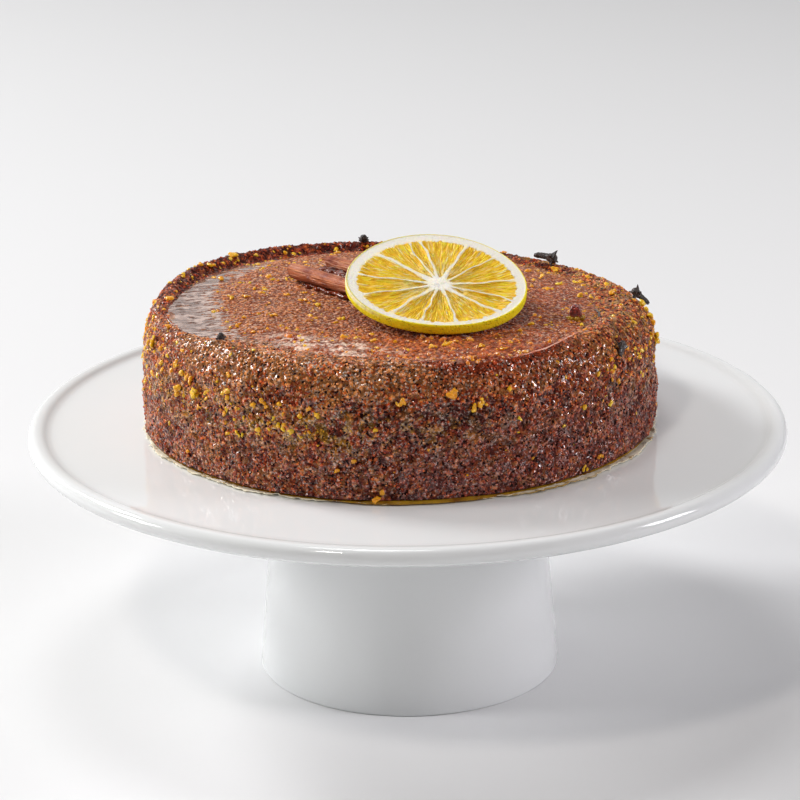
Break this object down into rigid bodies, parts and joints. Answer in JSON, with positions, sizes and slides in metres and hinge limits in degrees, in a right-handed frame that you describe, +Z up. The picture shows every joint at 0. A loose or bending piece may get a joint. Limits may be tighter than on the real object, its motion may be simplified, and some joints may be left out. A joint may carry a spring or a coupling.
{
  "type": "almond cake on a footed cake stand",
  "caption": "Low round almond cake with a syrup glaze, topped with a dried citrus slice, a cinnamon curl and cloves, on a footed white porcelain cake stand.",
  "frame": {"origin": "middle of the circle on which the foot of the stand rests, at the level of the table", "axes": "+Z up along the axis of the stand; -Y towards the side from which the trimmings are arranged; +X to the right as seen from there"},
  "size_m": [0.2998, 0.2998, 0.1755],
  "materials": {
    "porcelain": "white porcelain under a clear, mirror-smooth glaze",
    "paper": "baking paper, stained with syrup at its ragged edge",
    "crust": "moist reddish-brown crumb of ground almonds, glazed with syrup on top",
    "citrus": "dried citrus: yellow rind, white pith and amber pulp",
    "bark": "reddish-brown cinnamon bark with lengthwise fibres",
    "clove": "near-black dried clove",
    "zest": "moist bits of candied citrus zest",
    "syrup": "thin amber sugar syrup"
  },
  "bodies": {
    "root": {"cake_stand": "porcelain", "baking_paper": "paper", "cake": "crust", "citrus_slice": "citrus", "cinnamon_stick": "bark", "clove_1": "clove", "clove_2": "clove", "clove_3": "clove", "clove_4": "clove", "clove_5": "clove", "clove_6": "clove"}
  },
  "joints": []
}
